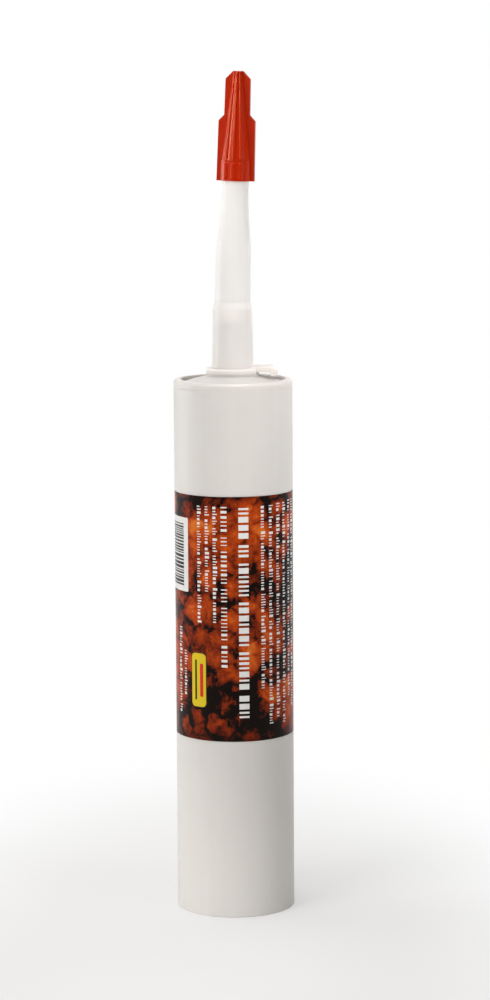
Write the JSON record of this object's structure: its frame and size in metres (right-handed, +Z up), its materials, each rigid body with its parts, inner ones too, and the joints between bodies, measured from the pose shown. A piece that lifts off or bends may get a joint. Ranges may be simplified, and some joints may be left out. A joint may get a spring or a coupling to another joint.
{
  "type": "caulk tube",
  "caption": "Plastic sealant cartridge on its open rear end, with wrap label, long tapering screw-on nozzle that leans slightly, winged and ribbed cap, and an inner piston.",
  "frame": {"origin": "centre of the barrel's rear rim, on the surface that it stands on", "axes": "+Z up along the barrel's axis towards the nozzle; +X is the side that the spout leans to and the foot tab points to"},
  "size_m": [0.0494, 0.0494, 0.3509],
  "materials": {
    "barrel_plastic": "satin off-white polyethylene",
    "label_film": "glossy printed film",
    "nozzle_plastic": "translucent white polyethylene",
    "cap_plastic": "smooth moulded red-orange polyethylene",
    "piston_plastic": "natural polyethylene",
    "sealant_paste": "soft grey paste"
  },
  "bodies": {
    "barrel": {"barrel": "barrel_plastic", "label": "label_film", "sealant": "sealant_paste"},
    "nozzle": {"nozzle": "nozzle_plastic"},
    "cap": {"cap": "cap_plastic"},
    "piston": {"piston": "piston_plastic"}
  },
  "joints": [
    {"name": "nozzle_unscrew", "type": "slide", "parent": "barrel", "child": "nozzle", "axis": [0, 0, 1], "range_m": [0, 0.026]},
    {"name": "cap_pull", "type": "slide", "parent": "nozzle", "child": "cap", "axis": [0.0332, 0, 0.9995], "range_m": [0, 0.036]},
    {"name": "piston_stroke", "type": "slide", "parent": "barrel", "child": "piston", "axis": [0, 0, 1], "range_m": [0, 0.188], "deforming": ["sealant"]}
  ]
}
